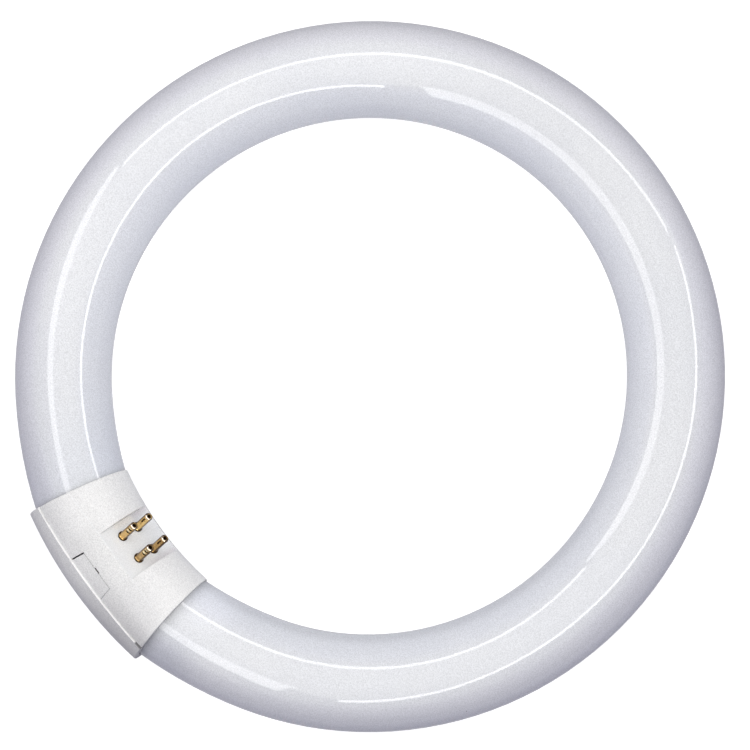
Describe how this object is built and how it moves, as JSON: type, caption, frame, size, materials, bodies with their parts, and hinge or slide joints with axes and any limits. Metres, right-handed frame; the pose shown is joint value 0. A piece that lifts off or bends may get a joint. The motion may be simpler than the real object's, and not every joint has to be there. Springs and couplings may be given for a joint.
{
  "type": "circular fluorescent tube",
  "caption": "Ring-shaped fluorescent tube, lying flat, with a moulded base across its glass ends that carries slanted brass contact pins.",
  "frame": {"origin": "centre of the ring, in the middle plane of the tube", "axes": "+Z along the ring's axis, on the side the pins lean to; the base is on the -Y side, with the tube running along X there"},
  "size_m": [0.2096, 0.2123, 0.0328],
  "materials": {
    "coated_glass": "gloss",
    "white_plastic": "matte",
    "pin_brass": "bright",
    "lead_metal": "satin"
  },
  "bodies": {
    "root": {"glass_tube": "coated_glass", "base_pin_shell": "white_plastic", "base_cover_shell": "white_plastic", "contact_pin_1": "pin_brass", "contact_pin_2": "pin_brass", "contact_pin_3": "pin_brass", "contact_pin_4": "pin_brass", "lead_wire_1": "lead_metal", "lead_wire_2": "lead_metal", "lead_wire_3": "lead_metal", "lead_wire_4": "lead_metal"}
  },
  "joints": []
}
